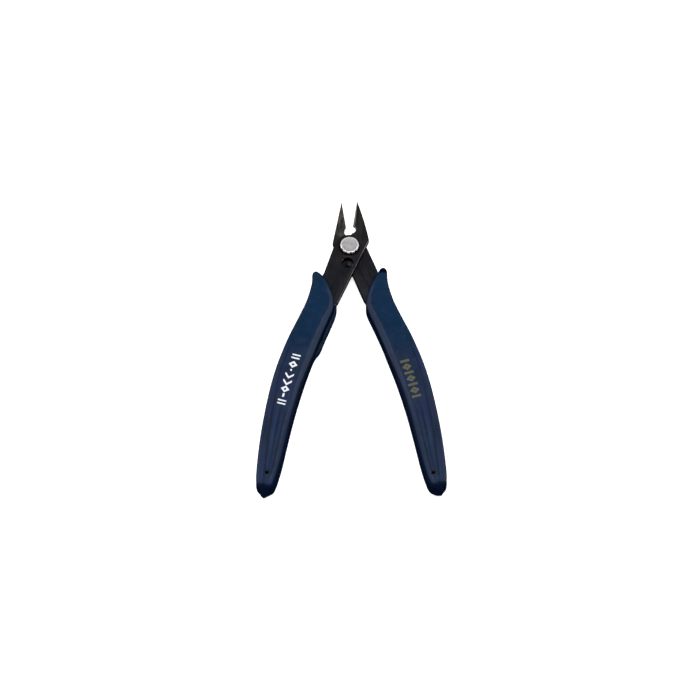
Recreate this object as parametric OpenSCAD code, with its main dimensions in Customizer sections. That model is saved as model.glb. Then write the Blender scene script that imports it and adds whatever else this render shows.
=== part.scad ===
// Flush cutter: two lapped steel blades on one rivet, each with a two-shell grip.
// +Y points to the jaws, +Z is the front side. The origin is the middle of the rivet
// collar's back face. The jaws are drawn closed and then opened by the angles below.

/* [Blades] */
// Thickness of each blade
blade_t = 2.3; // [2:0.1:2.6]
// Distance from the pivot to the jaw tips
jaw_reach = 20.7; // [18:0.1:21]
// Width of the ground bevel along a cutting edge
bevel_w = 0.9; // [0.7:0.1:0.9]
// Thickness left at the cutting edge
edge_land = 0.4; // [0.3:0.1:0.6]
// Thickness left at the jaw tip
tip_t = 1.2; // [1:0.1:1.6]
// Radius of the wire relief behind the cutting edges
notch_r = 1.95; // [1.8:0.05:2]
// Distance from the pivot to the middle of the wire relief
notch_y = 7.5; // [7.4:0.1:7.8]
// Radius of the round boss of a blade at the pivot
boss_r = 5; // [4.6:0.1:5.2]

/* [Opening] */
// Angle by which the front blade stands open at rest
front_open = 7.4; // [6:0.1:8]
// Angle by which the rear blade stands open at rest
rear_open = 8.2; // [7:0.1:9]

/* [Pivot] */
// Radius of the rivet's shank
shank_r = 2; // [1.8:0.1:2.2]
// Running clearance of the shank in the front blade
shank_gap = 0.05; // [0.03:0.01:0.08]
// Radius of the rivet's head and of its collar
head_r = 3.5; // [3:0.1:3.6]
// Height of the rivet's head
head_h = 0.9; // [0.7:0.1:1.1]
// Height of the rivet's collar
collar_h = 0.8; // [0.6:0.1:1]
// Radius of the thinner end of the rivet that the collar is pressed on
spigot_r = 1.5; // [1.3:0.1:1.6]
// Radius of the washers
washer_r = 4.1; // [3.9:0.1:4.2]
// Thickness of the washers
washer_t = 0.3; // [0.2:0.05:0.3]

/* [Stop and spring] */
// Distance from the pivot to the middle of the stop hole
stop_y = 7.05; // [7:0.05:7.2]
// Radius of the stop hole in the front blade
stop_hole_r = 2.05; // [2.05:0.01:2.1]
// Radius of the stop pin
stop_pin_r = 1.05; // [0.9:0.05:1.05]
// Thickness of the return spring's wire
wire_d = 0.9; // [0.8:0.1:1]
// Radius of the wire's bend round the pivot
wire_bend_r = 4.75; // [4.7:0.05:5]
// Width of the spring's slot in the left rear shell
slot_w = 2; // [1.6:0.1:2.2]

/* [Grips] */
// Thickness of one shell of a grip
shell_t = 4.5; // [4:0.1:5]
// Radius of the rounded edge of a shell
shell_round = 0.8; // [0.5:0.1:0.9]
// Clearance of a blade's tang in its shell
tang_gap = 0.05; // [0.02:0.01:0.1]
// Height that the right grip's flare stands above the left grip's
flare_extra = 1.3; // [0:0.1:2]
// How proud the spring seat stands on the left grip's inner side
seat_h = 1.1; // [0.8:0.1:1.4]
// Radius of the pins through the tangs
tang_pin_r = 1.5; // [1.3:0.1:1.6]
// Outer radius of the hollow pins at the tails
tail_pin_r = 1; // [0.9:0.1:1.1]
// Bore radius of the hollow pins
tail_bore_r = 0.65; // [0.5:0.05:0.7]

/* [Hidden] */
$fn = 64;
lap_gap = 0.02;
washer_gap = 0.02;
// Half the side of a square, about the origin, that holds the tool's whole plan
plan_half = 120;
// Height of the plane between the blades above the origin
lap_z = blade_t + washer_t + collar_h;
travel = front_open + rear_open;
// Angles from -Y towards +X: the stop pin's at rest, and the stop hole's with the jaws
// closed. The pin meets one side of its hole at rest and the other when the jaws meet.
pin_angle = 1.3;
hole_angle = pin_angle - travel / 2 + front_open;
stop_pin_at = stop_y * [sin(pin_angle), -cos(pin_angle)];
stop_pin_h = 3.9;
tang_pin = [12.2, -42];
left_tail = [18.4, -101.1];
right_tail = [17.3, -101.5];
tang_pin_half = 3.4;
tail_pin_half = shell_t - 0.2;
steel = [0.16, 0.16, 0.17];
silver = [0.78, 0.78, 0.76];
blue = [0.09, 0.19, 0.32];

// How far beyond the cutting edge the middle of each jaw's wire relief is
front_notch_x = -0.5;
rear_notch_x = -0.95;

// A blade's outline with the jaws closed: its jaw is on the +X side, its tang on the -X side.
// The front blade has the wider jaw. in_boss holds points inside the round boss.
tip_w = 0.1;
front_jaw = [[tip_w, jaw_reach], [4.15, 12.2], [7, 3.6]];
rear_jaw = [[tip_w, jaw_reach], [2.9, 12.7], [6.05, 3.5]];
front_neck = [[6.35, 1.6], [2.35, -12], [-1.3, -24.6], [-3.6, -27.6]];
rear_neck = [[5.4, 1.4], [4.4, -7.6], [0.45, -11], [-2.2, -22.4], [-4.7, -27.4]];
front_back = [[-8.1, -12.2], [-5.9, -0.6]];
rear_back = [[-9.1, -10.4], [-6.6, -0.4]];
in_boss = [[-3, 2], [0, boss_r - 0.5]];
tang_in = [[-6, -32.5], [-9.8, -43], [-13.2, -56], [-15.4, -70], [-16, -86]];
tang_out = [[-20.6, -86], [-20.2, -70], [-18.6, -56], [-15.4, -42], [-12.6, -31], [-10.4, -20]];

// Half a shell's outline: down the outer side, round the tail, and up the inner side.
grip_flare = [[9.8, -13.6], [11.5, -13.2], [12.4, -14.6]];
grip_outer = [
    [12.1, -18.5], [13.1, -26], [15.2, -33.5], [17.8, -42], [20.1, -51.5],
    [21.6, -61], [22.5, -72], [22.9, -85], [22.6, -98]
];
grip_tail = [[21.9, -104.8], [20.2, -107.2], [18.7, -108.7], [16.8, -107.4], [14.8, -105.2]];
grip_inner = [[13.4, -97], [12.5, -86], [11.3, -73], [9.4, -59.5], [7.3, -48.8]];
grip_seat = [[6.5, -44.6], [5.3, -39.4], [3.8, -33.5]];
grip_heel = [[2.5, -28.2], [2.8, -24.2]];
grip_petal = [[4.9, -19.4], [7.2, -15.8]];
heel_share = 0.8;
slot_share = 0.8;

// A spring's wire: a hook through the rear blade, an arc round the pivot, then a straight arm.
wire_gap = 0.05;
wire_z = -blade_t - 2 * wire_gap - wire_d / 2;
hook = [2.2, -6.2];
hook_top = -0.4;
arm_end = [-11.2, -39];
arm_places = [0.1, 0.4, 0.7, 1];
arc_steps = 14;
arc_from = -28;
arc_to = 196;

// Quadratic curve through a, towards b, to c
function curve3(p, n) = [
    for (i = [0 : n])
        let (t = i / n)
        (1 - t) * (1 - t) * p[0] + 2 * t * (1 - t) * p[1] + t * t * p[2]
];

// Closed smooth curve through points p, with n steps between neighbours
function smooth(p, n) = [
    for (i = [0 : len(p) - 1], k = [0 : n - 1])
        let (
            c = len(p), t = k / n,
            a = p[(i + c - 1) % c], b = p[i], d = p[(i + 1) % c], e = p[(i + 2) % c]
        )
        (2 * b + (d - a) * t + (2 * a - 5 * b + 4 * d - e) * t * t
            + (3 * b - a - 3 * d + e) * t * t * t) / 2
];

// Outline p moved outwards by r at every point; p runs clockwise
function grown(p, r) = [
    for (i = [0 : len(p) - 1])
        let (
            c = len(p), along = p[(i + 1) % c] - p[(i + c - 1) % c],
            side = [-along[1], along[0]] / norm(along)
        )
        p[i] + r * side
];

function lift(p, z) = [for (q = p) [q[0], q[1], z]];
function raised(p, h) = [for (q = p) q + [0, h]];
function moved(p, w) = [for (q = p) q + [w, 0]];

// Solid between stacked rings with the same number of points, lowest ring first
module loft(rings) {
    n = len(rings[0]);
    m = len(rings);
    points = [for (r = rings) for (q = r) q];
    sides = [
        for (j = [0 : m - 2], i = [0 : n - 1])
            [j * n + i, j * n + (i + 1) % n, (j + 1) * n + (i + 1) % n, (j + 1) * n + i]
    ];
    bottom = [[for (i = [0 : n - 1]) n - 1 - i]];
    top = [[for (i = [0 : n - 1]) (m - 1) * n + i]];
    polyhedron(points, concat(sides, bottom, top), convexity = 8);
}

// Round tube along path p, with 8 sides
module wire(p, d) {
    c = len(p) - 1;
    rings = [
        for (i = [0 : c])
            let (
                t = p[min(i + 1, c)] - p[max(i - 1, 0)],
                w = t / norm(t),
                u0 = abs(w[2]) > 0.9 ? cross([0, 1, 0], w) : cross([0, 0, 1], w),
                u = u0 / norm(u0),
                v = cross(w, u)
            )
            [for (k = [0 : 7]) p[i] + d / 2 * (cos(45 * k) * u + sin(45 * k) * v)]
    ];
    n = 8;
    points = [for (r = rings) for (q = r) q];
    sides = [
        for (j = [0 : c - 1], i = [0 : n - 1])
            [j * n + i, (j + 1) * n + i, (j + 1) * n + (i + 1) % n, j * n + (i + 1) % n]
    ];
    bottom = [[for (i = [0 : n - 1]) i]];
    top = [[for (i = [0 : n - 1]) (c + 1) * n - 1 - i]];
    polyhedron(points, concat(sides, bottom, top), convexity = 8);
}

// The front half of the tool as drawn stands open to the left, the rear half to the right
module front_side() { translate([0, 0, lap_z]) rotate([0, 0, -front_open]) children(); }
module rear_side() { translate([0, 0, lap_z]) rotate([0, 0, rear_open]) children(); }

module blade_plate(jaw, neck, back, notch_x) {
    difference() {
        union() {
            linear_extrude(blade_t)
                polygon(concat(curve3(jaw, 10), neck, tang_in, tang_out, back, in_boss));
            cylinder(r = boss_r, h = blade_t);
        }
        translate([notch_x, notch_y, -1]) cylinder(r = notch_r, h = blade_t + 2);
        translate([-plan_half, -plan_half, -1]) cube([2 * plan_half, 2 * plan_half, 1 + lap_gap / 2]);
    }
}

// A blade's outer face is ground away along the edge and towards the tip. Each cutting plane
// runs on past the face that it leaves.
module edge_bevel() {
    over = blade_t + 1;
    slope = (blade_t - edge_land) / bevel_w;
    translate([0, jaw_reach + 1, 0]) rotate([90, 0, 0])
        linear_extrude(jaw_reach + 1 - notch_y)
            polygon([[-3, edge_land], [0, edge_land], [bevel_w + 1 / slope, over], [-3, over]]);
}

module tip_taper() {
    slope = (blade_t - tip_t) / (jaw_reach - notch_y);
    rotate([90, 0, 90]) translate([0, 0, -2])
        linear_extrude(12)
            polygon([
                [notch_y - 2, blade_t + 2 * slope], [jaw_reach + 1, tip_t - slope],
                [jaw_reach + 1, blade_t + 1], [notch_y - 2, blade_t + 1]
            ]);
}

// A blade lies on the lap plane, with its ground face up
module blade(jaw, neck, back, notch_x) {
    difference() {
        blade_plate(jaw, neck, back, notch_x);
        edge_bevel();
        tip_taper();
        translate([-tang_pin[0], tang_pin[1], -1]) cylinder(r = tang_pin_r, h = blade_t + 2);
        children();
    }
}

module front_blade() {
    color(steel) front_side() blade(front_jaw, front_neck, front_back, front_notch_x) {
        union() {
            translate([0, 0, -1]) cylinder(r = shank_r + shank_gap, h = blade_t + 2);
            rotate([0, 0, hole_angle])
                translate([0, -stop_y, -1]) cylinder(r = stop_hole_r, h = blade_t + 2);
        }
    }
}

module rear_blade() {
    color(steel) rear_side() mirror([1, 0, 0]) mirror([0, 0, 1])
        blade(rear_jaw, rear_neck, rear_back, rear_notch_x) {
            union() {
                translate([0, 0, -1]) cylinder(r = shank_r, h = blade_t + 2);
                rotate([0, 0, rear_open]) mirror([1, 0, 0]) union() {
                    translate([stop_pin_at[0], stop_pin_at[1], -1])
                        cylinder(r = stop_pin_r, h = blade_t + 2);
                    translate([hook[0], hook[1], -1])
                        cylinder(r = wire_d / 2 + wire_gap, h = blade_t + 2);
                }
            }
        }
}

module pivot_rivet() {
    rim = 0.35;
    top = lap_z + blade_t + washer_gap + washer_t;
    color(silver) rotate_extrude() polygon([
        [0, 0], [spigot_r, 0], [spigot_r, collar_h], [shank_r, collar_h],
        [shank_r, top], [head_r, top], [head_r, top + head_h - rim],
        [head_r - rim, top + head_h], [0, top + head_h]
    ]);
}

module pivot_collar() {
    rim = 0.25;
    color(silver) rotate_extrude() polygon([
        [spigot_r, 0], [head_r - rim, 0], [head_r, rim], [head_r, collar_h], [spigot_r, collar_h]
    ]);
}

module washer(z) {
    translate([0, 0, z]) difference() {
        cylinder(r = washer_r, h = washer_t);
        translate([0, 0, -1]) cylinder(r = shank_r, h = washer_t + 2);
    }
}

module front_washer() { color(steel) washer(lap_z + blade_t + washer_gap); }
module rear_washer() { color(steel) washer(collar_h); }

module stop_pin() {
    color(steel) translate([stop_pin_at[0], stop_pin_at[1], lap_z - blade_t])
        cylinder(r = stop_pin_r, h = stop_pin_h);
}

module return_spring() {
    step = (arc_to - arc_from) / arc_steps;
    arc = [
        for (i = [0 : arc_steps])
            let (a = arc_from + i * step)
            [wire_bend_r * cos(a), wire_bend_r * sin(a), wire_z]
    ];
    start = [
        [hook[0], hook[1], hook_top], [hook[0], hook[1], wire_z + 0.5],
        [hook[0] + 0.15, hook[1] + 0.35, wire_z]
    ];
    foot = [arm_end[0], arm_end[1], wire_z];
    arm = [for (t = arm_places) arc[arc_steps] * (1 - t) + foot * t];
    color(silver) translate([0, 0, lap_z]) wire(concat(start, arc, arm), wire_d);
}

function grip_outline(lift_flare, seat) = smooth(
    concat(raised(grip_flare, lift_flare), grip_outer, grip_tail, grip_inner,
        moved(grip_seat, -seat), moved(grip_heel, -heel_share * seat), grip_petal),
    3
);

// One shell of a grip, from the parting plane up. The cap with the rounded edge starts a
// little below the top of the straight side, and a hair inside it.
module shell(lift_flare, seat) {
    outline = grip_outline(lift_flare, seat);
    side_h = shell_t - shell_round;
    hair = 0.01;
    overlap = 0.3;
    linear_extrude(side_h) polygon(outline);
    loft(concat(
        [lift(grown(outline, -hair), side_h - overlap)],
        [
            for (a = [0, 30, 60, 90])
                lift(
                    grown(outline, -hair - shell_round * (1 - cos(a))),
                    side_h + shell_round * sin(a)
                )
        ]
    ));
}

module pin_holes(tail) {
    translate([tang_pin[0], tang_pin[1], -1]) cylinder(r = tang_pin_r, h = tang_pin_half + 1);
    translate([tail[0], tail[1], -1]) cylinder(r = tail_pin_r, h = shell_t + 2);
}

// The slot that the spring's arm lies in, drawn with the tool at rest
module spring_slot() {
    arm = [arm_end[0] - wire_bend_r * cos(arc_to), arm_end[1] - wire_bend_r * sin(arc_to)];
    away = [-arm[1], arm[0]] / norm(arm) * slot_w / 2;
    low = arm_end + arm / norm(arm);
    high = arm_end - slot_share * arm;
    translate([0, 0, wire_z - wire_d / 2 - 2 * wire_gap])
        linear_extrude(shell_t)
            polygon([low - away, low + away, high + away, high - away]);
}

module tang_room(neck, back) {
    translate([0, 0, -1]) linear_extrude(blade_t + 1)
        polygon(grown(concat(neck, tang_in, tang_out, back), tang_gap));
}

module left_front_shell() {
    color(blue) front_side() difference() {
        mirror([1, 0, 0]) difference() {
            shell(0, 0);
            pin_holes(left_tail);
        }
        tang_room(front_neck, front_back);
    }
}

module left_rear_shell() {
    color(blue) difference() {
        front_side() mirror([1, 0, 0]) mirror([0, 0, 1]) difference() {
            shell(0, seat_h);
            pin_holes(left_tail);
        }
        translate([0, 0, lap_z]) spring_slot();
    }
}

module right_front_shell() {
    color(blue) rear_side() difference() {
        shell(flare_extra, 0);
        pin_holes(right_tail);
    }
}

module right_rear_shell() {
    color(blue) rear_side() mirror([0, 0, 1]) difference() {
        shell(flare_extra, 0);
        pin_holes(right_tail);
        mirror([1, 0, 0]) tang_room(rear_neck, rear_back);
    }
}

module tang_pin_solid() {
    translate([tang_pin[0], tang_pin[1], -tang_pin_half])
        cylinder(r = tang_pin_r, h = 2 * tang_pin_half);
}

module tail_pin_solid(tail) {
    translate([tail[0], tail[1], -tail_pin_half]) difference() {
        cylinder(r = tail_pin_r, h = 2 * tail_pin_half);
        translate([0, 0, -1]) cylinder(r = tail_bore_r, h = 2 * tail_pin_half + 2);
    }
}

module left_tang_pin() { color(silver) front_side() mirror([1, 0, 0]) tang_pin_solid(); }
module right_tang_pin() { color(silver) rear_side() tang_pin_solid(); }
module left_tail_pin() { color(steel) front_side() mirror([1, 0, 0]) tail_pin_solid(left_tail); }
module right_tail_pin() { color(steel) rear_side() tail_pin_solid(right_tail); }

front_blade();
rear_blade();
pivot_rivet();
pivot_collar();
front_washer();
rear_washer();
stop_pin();
return_spring();
left_front_shell();
left_rear_shell();
right_front_shell();
right_rear_shell();
left_tang_pin();
right_tang_pin();
left_tail_pin();
right_tail_pin();
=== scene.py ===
"""Looks of a flush cutter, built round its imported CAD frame.

Meshes are made in millimetres and stored in metres, and materials work in metres. +Y points to
the jaws and +Z is the front.
"""

import math

import bmesh
import bpy
import numpy as np
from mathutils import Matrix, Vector
from mathutils.bvhtree import BVHTree


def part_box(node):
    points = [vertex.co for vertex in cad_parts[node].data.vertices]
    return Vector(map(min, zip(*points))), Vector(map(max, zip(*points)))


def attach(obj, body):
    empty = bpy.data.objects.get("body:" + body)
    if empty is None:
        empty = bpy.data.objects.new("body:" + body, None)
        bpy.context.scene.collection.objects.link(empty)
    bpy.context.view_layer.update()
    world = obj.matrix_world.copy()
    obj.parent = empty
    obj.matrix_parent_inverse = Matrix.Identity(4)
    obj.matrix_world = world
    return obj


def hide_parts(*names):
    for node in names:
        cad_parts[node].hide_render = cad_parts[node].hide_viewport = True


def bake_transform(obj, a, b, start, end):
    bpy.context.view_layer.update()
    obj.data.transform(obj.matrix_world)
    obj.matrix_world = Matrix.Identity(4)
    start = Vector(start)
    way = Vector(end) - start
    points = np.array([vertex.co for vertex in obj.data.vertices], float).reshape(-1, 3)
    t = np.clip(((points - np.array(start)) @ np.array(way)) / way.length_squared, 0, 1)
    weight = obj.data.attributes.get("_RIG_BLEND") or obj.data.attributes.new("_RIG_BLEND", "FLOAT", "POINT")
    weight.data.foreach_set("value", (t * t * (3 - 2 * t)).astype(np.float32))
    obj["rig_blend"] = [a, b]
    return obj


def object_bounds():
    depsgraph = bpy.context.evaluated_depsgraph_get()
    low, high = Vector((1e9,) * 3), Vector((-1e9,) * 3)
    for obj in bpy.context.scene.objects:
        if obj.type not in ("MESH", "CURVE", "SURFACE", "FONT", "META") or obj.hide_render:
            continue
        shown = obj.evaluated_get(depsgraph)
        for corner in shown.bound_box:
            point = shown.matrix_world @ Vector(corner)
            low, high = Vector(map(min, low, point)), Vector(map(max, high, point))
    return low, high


MM = 0.001
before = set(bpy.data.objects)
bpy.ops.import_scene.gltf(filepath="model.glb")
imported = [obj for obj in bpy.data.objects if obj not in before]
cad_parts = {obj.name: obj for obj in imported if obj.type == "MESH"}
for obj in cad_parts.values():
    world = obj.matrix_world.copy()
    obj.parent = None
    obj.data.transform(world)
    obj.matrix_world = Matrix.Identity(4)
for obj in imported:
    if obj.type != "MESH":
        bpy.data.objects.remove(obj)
cad_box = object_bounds()

# ---- Sizes in millimetres ------------------------------------------------------------------

# A shell's rounded edge, and its bevel at the parting line
SHELL_ROUND = 0.85
PARTING_BEVEL = 0.12
# How far a shell stays below the CAD's top, and inside its outline
CLEAR_OF_TOP = 0.05
INSIDE = 0.003
# Room round a tang, and round a pin
TANG_ROOM = 0.06
PIN_GAP = 0.02
# The right grip's tail is flattened over this length
TAIL_CUT = 0.75
# The ring mark's radius, and its shift from the pin through the tang
RING_MARK_R = 3.4
RING_MARK_SHIFT = {"left": (-1.0, 0.0), "right": (1.9, -1.8)}
# The bevel on a blade's sharp edges, which stops short of the jaw's tip
BLADE_BEVEL = 0.22
SHARP_TIP = 1.6
# Faces with a higher Y are on the jaw
JAW_Y = 5
# Edges this near the stop pin are the stop hole's
STOP_HOLE_REACH = 2.6
# The rivet's shank and thinner end, and its head's flat, rounded rim and hammer marks
SHANK_R = 2.0
SPIGOT_R = 1.5
HEAD_FLAT_R = 2.7
HEAD_RIM = 0.42
PEEN_DEPTH = 0.38
# The bore of the hollow pins
TAIL_BORE_R = 0.65
# The return spring: its wire, its bend round the pivot, its two ends and the slot for its arm
WIRE_D = 0.9
WIRE_BEND_R = 4.75
WIRE_HOOK = (2.2, -6.2)
WIRE_ARM_END = (-11.2, -39.0)
SLOT_W = 2.0
# The print's thickness, and its height above the grip
INK_THICK = 0.03
INK_LIFT = 0.006

# ---- Angles in degrees, counts and shares --------------------------------------------------

WIRE_ARC = (-28, 196)
GRIP_SHARP_ANGLE = 28
BLADE_SHARP_ANGLE = 28
LATHE_STEPS = 96
CUTTER_STEPS = 48
WIRE_SIDES = 20
WIRE_ARC_STEPS = 60
WIRE_ARM_STEPS = 40
# Hammer marks all the way round, though only those on the handles' side show
PEEN_COUNT = 11
# What the flattened tail keeps of its length, and how much of the spring's arm the slot takes
TAIL_KEEP = 0.15
SLOT_SHARE = 0.8
# How much painted shade a shell's rounded outer edge, its outer wall, and a rear shell's inner wall get
OUTER_EDGE_SHADE = 0.6
OUTER_WALL_SHADE = 0.35
REAR_WALL_SHADE = 0.7
# Faces with more painted shade than this are matt
MATT_FROM = 0.5


def low(node):
    """Lowest corner of a CAD node, in millimetres"""
    return np.array(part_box(node)[0]) / MM


def high(node):
    """Highest corner of a CAD node, in millimetres"""
    return np.array(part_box(node)[1]) / MM


def middle(node):
    return (low(node) + high(node)) / 2


def radius_of(node):
    """Radius of a CAD node that is round about +Z"""
    return (high(node) - low(node))[0] / 2


PARTING_Z = low("left_front_shell")[2]
SHELL_T = high("left_front_shell")[2] - PARTING_Z


def smoothstep(x, a, b):
    """0 before a, 1 after b, smooth between; a may be above b"""
    t = np.clip((np.asarray(x, float) - a) / (b - a), 0, 1)
    return t * t * (3 - 2 * t)


def ridge(x, width, power=2):
    """1 where x is 0, falling to nothing beyond width on both sides"""
    return np.exp(-((x / width) ** power))


# ---- Mesh helpers --------------------------------------------------------------------------


def shade_smooth(bm, sharp_angle):
    """Smooth shading, but for edges over sharp_angle"""
    limit = math.radians(sharp_angle)
    for face in bm.faces:
        face.smooth = True
    for edge in bm.edges:
        edge.smooth = edge.is_manifold and edge.calc_face_angle(0) < limit


def new_object(name, bm, materials, sharp_angle=35):
    """Object with the bmesh's shape, which is in millimetres"""
    bmesh.ops.recalc_face_normals(bm, faces=bm.faces)
    shade_smooth(bm, sharp_angle)
    bmesh.ops.scale(bm, vec=(MM, MM, MM), verts=bm.verts)
    mesh = bpy.data.meshes.new(name)
    bm.to_mesh(mesh)
    bm.free()
    for material in materials:
        mesh.materials.append(material)
    piece = bpy.data.objects.new(name, mesh)
    bpy.context.scene.collection.objects.link(piece)
    return piece


def place(piece, body, slot, *nodes):
    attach(piece, body)
    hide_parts(*nodes)


def bmesh_from(points, faces):
    bm = bmesh.new()
    verts = [bm.verts.new(p) for p in points]
    for face in faces:
        corners = list(dict.fromkeys(face))
        if len(corners) > 2:
            bm.faces.new([verts[i] for i in corners])
    return bm


def cad_bmesh(node):
    """A CAD node's own mesh in millimetres, with its split corners joined"""
    bm = bmesh.new()
    bm.from_mesh(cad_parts[node].data)
    bmesh.ops.scale(bm, vec=(1 / MM,) * 3, verts=bm.verts)
    bmesh.ops.remove_doubles(bm, verts=bm.verts, dist=0.001)
    return bm


def lathe(profile, centre=(0, 0), steps=LATHE_STEPS):
    """Body of revolution: profile is a list of (radius, height), and is closed by itself or by
    radii of 0 at both ends. Repeated points are left out."""
    points, rings = [], []
    profile = [p for p, q in zip(profile, [None, *profile]) if q is None or math.dist(p, q) > 1e-4]
    for r, z in profile:
        start = len(points)
        if r == 0:
            points.append((centre[0], centre[1], z))
            rings.append([start] * steps)
            continue
        for k in range(steps):
            a = 2 * math.pi * k / steps
            points.append((centre[0] + r * math.cos(a), centre[1] + r * math.sin(a), z))
        rings.append([start + k for k in range(steps)])
    pairs = list(zip(rings, rings[1:]))
    if profile[0][0] and profile[-1][0]:
        pairs.append((rings[-1], rings[0]))
    faces = []
    for a, b in pairs:
        for k in range(steps):
            n = (k + 1) % steps
            faces.append((a[k], a[n], b[n], b[k]))
    return bmesh_from(points, faces)


def fillet(centre_r, centre_z, radius, start, end, steps=5):
    """Arc of a lathe profile, angles in degrees from the outward direction"""
    arc = []
    for k in range(steps + 1):
        a = math.radians(start + (end - start) * k / steps)
        arc.append((centre_r + radius * math.cos(a), centre_z + radius * math.sin(a)))
    return arc


def cut(piece, cutter):
    """Takes the cutter's shape out of the piece, and removes the cutter"""
    modifier = piece.modifiers.new("cut", "BOOLEAN")
    modifier.operation = "DIFFERENCE"
    modifier.solver = "EXACT"
    modifier.object = cutter
    graph = bpy.context.evaluated_depsgraph_get()
    mesh = bpy.data.meshes.new_from_object(piece.evaluated_get(graph))
    piece.modifiers.clear()
    piece.data = mesh
    bpy.data.objects.remove(cutter)


def mend(piece, sharp_angle):
    """Removes the slivers and spare points that cuts leave, and shades the piece again"""
    bm = bmesh.new()
    bm.from_mesh(piece.data)
    bmesh.ops.dissolve_degenerate(bm, edges=bm.edges, dist=1e-7)
    bmesh.ops.dissolve_verts(bm, verts=[v for v in bm.verts if len(v.link_edges) == 2])
    shade_smooth(bm, sharp_angle)
    bm.to_mesh(piece.data)
    bm.free()


# ---- Materials -----------------------------------------------------------------------------


class Shader:
    """A node material with short helpers"""

    def __init__(self, name):
        self.material = bpy.data.materials.new(name)
        self.material.use_nodes = True
        self.tree = self.material.node_tree
        self.out = self.tree.nodes["Principled BSDF"]
        self.place = self.tree.nodes.new("ShaderNodeTexCoord").outputs["Object"]

    def node(self, kind, inputs=None, **settings):
        made = self.tree.nodes.new("ShaderNode" + kind)
        for key, value in settings.items():
            setattr(made, key, value)
        for key, value in (inputs or {}).items():
            self.feed(made.inputs[key], value)
        return made

    def feed(self, socket, value):
        if isinstance(value, bpy.types.NodeSocket):
            self.tree.links.new(value, socket)
        else:
            socket.default_value = value

    def set(self, **values):
        for key, value in values.items():
            self.feed(self.out.inputs[key.replace("_", " ")], value)

    def stretched(self, x, y, z):
        """The place, scaled along each axis"""
        return self.node("Mapping", {"Vector": self.place, "Scale": (x, y, z)}).outputs[0]

    def noise(self, scale, detail=3, vector=None, roughness=0.5, distortion=0):
        made = self.node(
            "TexNoise",
            {
                "Vector": vector or self.place,
                "Scale": scale,
                "Detail": detail,
                "Roughness": roughness,
                "Distortion": distortion,
            },
        )
        return made.outputs["Fac"]

    def ranged(self, value, a, b, to_a=0.0, to_b=1.0):
        made = self.node(
            "MapRange",
            {"Value": value, "From Min": a, "From Max": b, "To Min": to_a, "To Max": to_b},
            interpolation_type="SMOOTHSTEP",
        )
        return made.outputs["Result"]

    def math(self, operation, a, b=0.0):
        made = self.node("Math", {0: a, 1: b}, operation=operation)
        return made.outputs[0]

    def times(self, a, b):
        return self.math("MULTIPLY", a, b)

    def mix(self, factor, a, b):
        made = self.node("Mix", data_type="RGBA")
        self.feed(made.inputs["Factor"], factor)
        self.feed(made.inputs[6], (*a, 1) if isinstance(a, tuple) else a)
        self.feed(made.inputs[7], (*b, 1) if isinstance(b, tuple) else b)
        return made.outputs[2]

    def mask(self, name):
        """An attribute of the mesh"""
        return self.node("Attribute", attribute_name=name).outputs["Fac"]

    def axis(self, index):
        return self.node("SeparateXYZ", {0: self.place}).outputs[index]

    def distance(self, point):
        made = self.node("VectorMath", {0: self.place, 1: point}, operation="DISTANCE")
        return made.outputs["Value"]

    def bump(self, height, strength, distance, below=None):
        inputs = {"Height": height, "Strength": strength, "Distance": distance}
        if below is not None:
            inputs["Normal"] = below
        return self.node("Bump", inputs).outputs[0]


# Colours of the grips, as linear red, green and blue
TEAL = (0.0009, 0.0140, 0.0410)
# Painted reflection: the lower grip is drawn greyer and lighter than the thumb rest
SLATE_SHEEN = (0.0096, 0.0190, 0.0440)
VIOLET = (0.0115, 0.0155, 0.0590)
# Painted reflection on the inner chamfered band
BAND_SHEEN_BLUE = (0.0180, 0.0255, 0.0510)
INK_BLUE = (0.0006, 0.0018, 0.0070)
# Paler mottling, and the painted highlight along the inner band's edge
MOTTLE_AND_HIGHLIGHT_BLUE = (0.0350, 0.0480, 0.0750)
STREAK_DARK = (0.0030, 0.0080, 0.0250)
STREAK_LIGHT = (0.0120, 0.0330, 0.0800)

# In metres: where the thumb rest's teal ends, and the width that the streaks are laid out on
TEAL_END_Y = -0.040
LANE_WIDTH = 0.0145


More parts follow.
